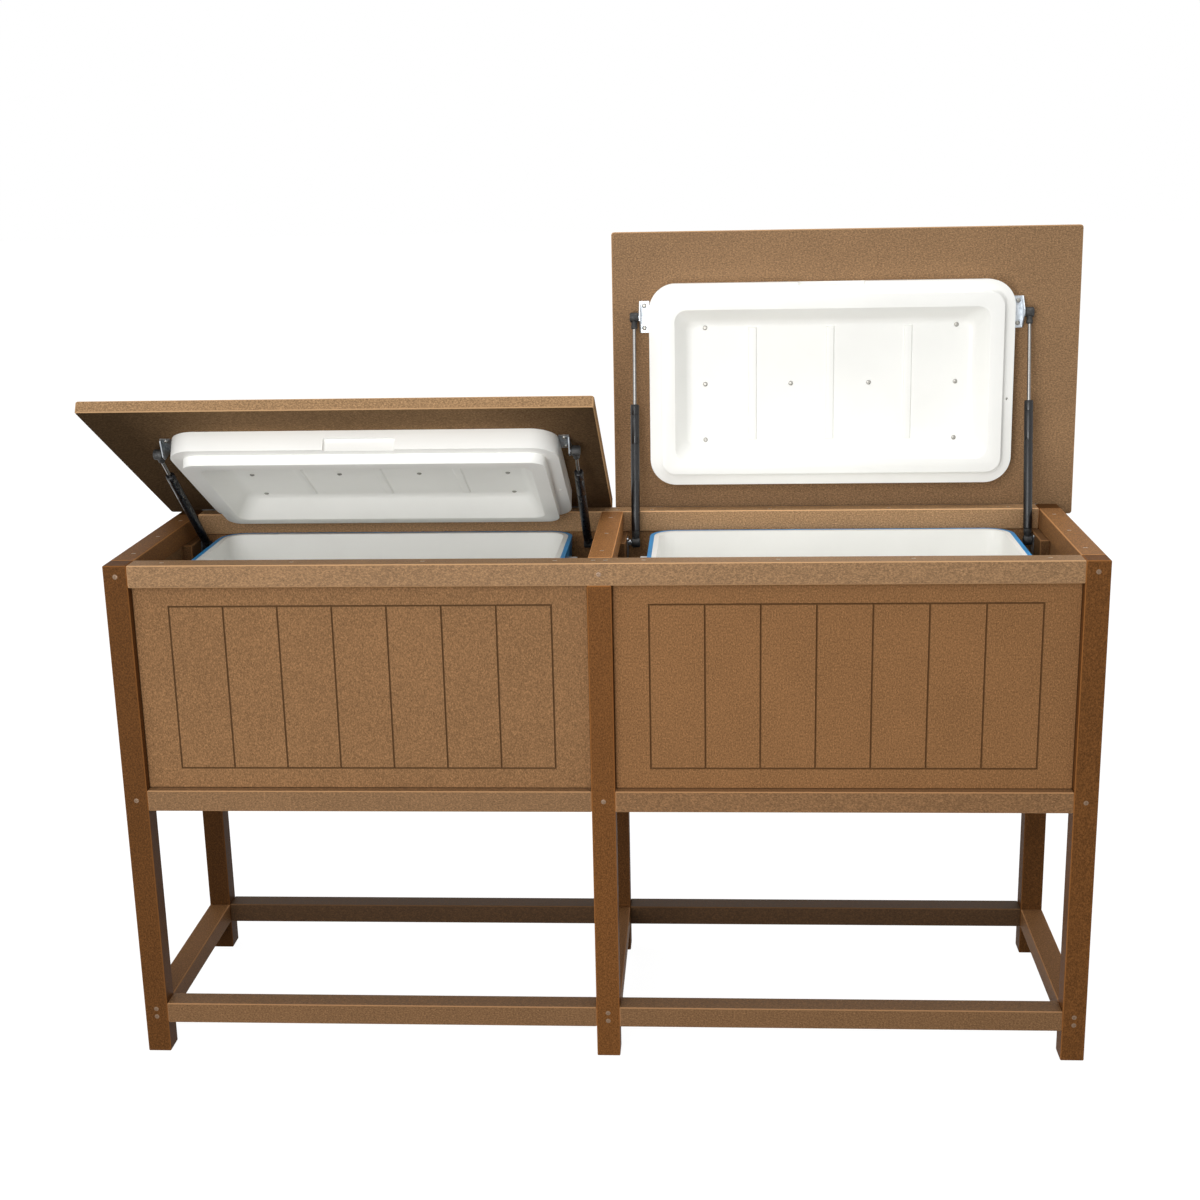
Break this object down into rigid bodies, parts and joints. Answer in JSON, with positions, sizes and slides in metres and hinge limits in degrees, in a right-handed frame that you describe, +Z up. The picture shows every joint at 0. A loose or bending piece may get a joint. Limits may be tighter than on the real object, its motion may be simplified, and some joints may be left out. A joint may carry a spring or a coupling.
{
  "type": "raised ice chest",
  "caption": "Tall open frame of plastic lumber holding two insulated chests side by side, each under a hinged board lid on gas struts.",
  "frame": {"origin": "on the ground under the middle of the whole object's box, with the left lid partly open and the right lid fully open", "axes": "+X along the frame to the right as seen from the front, +Y from the front to the hinges at the back, +Z up"},
  "size_m": [1.608, 0.4782, 1.3137],
  "materials": {
    "board": "speckled brown recycled plastic lumber, fine matt texture",
    "leg": "speckled darker brown recycled plastic lumber",
    "shell": "blue moulded polyethylene",
    "white": "white moulded polyethylene, satin",
    "foam": "rigid insulating foam",
    "zinc": "bright zinc plate",
    "screw": "stainless screws",
    "rod": "polished strut rod in a black nylon socket",
    "tube": "black powder coat with a black nylon socket"
  },
  "bodies": {
    "frame": {"leg_front_left": "leg", "leg_front_centre": "leg", "leg_front_right": "leg", "leg_rear_left": "leg", "leg_rear_centre": "leg", "leg_rear_right": "leg", "top_rail_front": "board", "top_rail_rear": "board", "top_rail_left": "board", "top_rail_centre": "board", "top_rail_right": "board", "lower_rail_front_left": "board", "lower_rail_front_right": "board", "lower_rails_rear": "board", "lower_rails_cross": "board", "stretchers_front": "board", "stretchers_rear": "board", "stretchers_cross": "board", "panel_front_left": "board", "panel_front_right": "board", "panel_rear_left": "board", "panel_rear_right": "board", "panel_left": "board", "panel_right": "board", "panel_centre": "board", "floor_slats_left": "board", "floor_slats_right": "board", "floor_cleats": "board", "strut_blocks": "board", "strut_plates": "zinc", "frame_screws": "screw", "hinge_frame_leaves": "zinc", "hinge_pins": "zinc", "chest_shell_left": "shell", "chest_shell_right": "shell", "chest_liner_left": "white", "chest_liner_right": "white", "chest_foam_left": "foam", "chest_foam_right": "foam", "carry_handles": "white", "drain_plugs": "white"},
    "lid_left": {"lid_board_left": "board", "chest_lid_left": "white", "lid_brackets_left": "zinc", "lid_screws_left": "screw", "hinge_lid_leaf_left": "zinc"},
    "rod_left_outer": {"strut_rod_left_outer": "rod"},
    "tube_left_outer": {"strut_tube_left_outer": "tube"},
    "rod_left_inner": {"strut_rod_left_inner": "rod"},
    "tube_left_inner": {"strut_tube_left_inner": "tube"},
    "lid_right": {"lid_board_right": "board", "chest_lid_right": "white", "lid_brackets_right": "zinc", "lid_screws_right": "screw", "hinge_lid_leaf_right": "zinc"},
    "rod_right_outer": {"strut_rod_right_outer": "rod"},
    "tube_right_outer": {"strut_tube_right_outer": "tube"},
    "rod_right_inner": {"strut_rod_right_inner": "rod"},
    "tube_right_inner": {"strut_tube_right_inner": "tube"}
  },
  "joints": [
    {"name": "lid_left_hinge", "type": "hinge", "parent": "frame", "child": "lid_left", "pos_m": [-0.4035, 0.19688, 0.8328], "axis": [-1, 0, 0], "range_deg": [-29.6, 62.4]},
    {"name": "rod_left_outer_hinge", "type": "hinge", "parent": "lid_left", "child": "rod_left_outer", "pos_m": [-0.7155, -0.10176, 0.99038], "axis": [-1, 0, 0], "range_deg": [-3.22, 1.55]},
    {"name": "tube_left_outer_slide", "type": "slide", "parent": "rod_left_outer", "child": "tube_left_outer", "axis": [0, 0.749, -0.6626], "range_m": [-0.0402, 0.08452]},
    {"name": "rod_left_inner_hinge", "type": "hinge", "parent": "lid_left", "child": "rod_left_inner", "pos_m": [-0.0415, -0.10176, 0.99038], "axis": [-1, 0, 0], "range_deg": [-3.22, 1.55]},
    {"name": "tube_left_inner_slide", "type": "slide", "parent": "rod_left_inner", "child": "tube_left_inner", "axis": [0, 0.749, -0.6626], "range_m": [-0.0402, 0.08452]},
    {"name": "lid_right_hinge", "type": "hinge", "parent": "frame", "child": "lid_right", "pos_m": [0.4035, 0.19688, 0.8328], "axis": [-1, 0, 0], "range_deg": [-92, 0]},
    {"name": "rod_right_outer_hinge", "type": "hinge", "parent": "lid_right", "child": "rod_right_outer", "pos_m": [0.7155, 0.19817, 1.17046], "axis": [-1, 0, 0], "range_deg": [-0.05, 2.63]},
    {"name": "tube_right_outer_slide", "type": "slide", "parent": "rod_right_outer", "child": "tube_right_outer", "axis": [0, -0.1862, -0.9825], "range_m": [-0.12624, 0.0002]},
    {"name": "rod_right_inner_hinge", "type": "hinge", "parent": "lid_right", "child": "rod_right_inner", "pos_m": [0.0415, 0.19817, 1.17046], "axis": [-1, 0, 0], "range_deg": [-0.05, 2.63]},
    {"name": "tube_right_inner_slide", "type": "slide", "parent": "rod_right_inner", "child": "tube_right_inner", "axis": [0, -0.1862, -0.9825], "range_m": [-0.12624, 0.0002]}
  ],
  "couplings": [
    {"joint": "rod_left_outer_hinge", "follows": "lid_left_hinge", "ratio": -0.050746},
    {"joint": "tube_left_outer_slide", "follows": "lid_left_hinge", "m_per_rad": 0.077423},
    {"joint": "rod_left_inner_hinge", "follows": "lid_left_hinge", "ratio": -0.050746},
    {"joint": "tube_left_inner_slide", "follows": "lid_left_hinge", "m_per_rad": 0.077423},
    {"joint": "rod_right_outer_hinge", "follows": "lid_right_hinge", "ratio": -0.028},
    {"joint": "tube_right_outer_slide", "follows": "lid_right_hinge", "m_per_rad": 0.078495},
    {"joint": "rod_right_inner_hinge", "follows": "lid_right_hinge", "ratio": -0.028},
    {"joint": "tube_right_inner_slide", "follows": "lid_right_hinge", "m_per_rad": 0.078495}
  ]
}
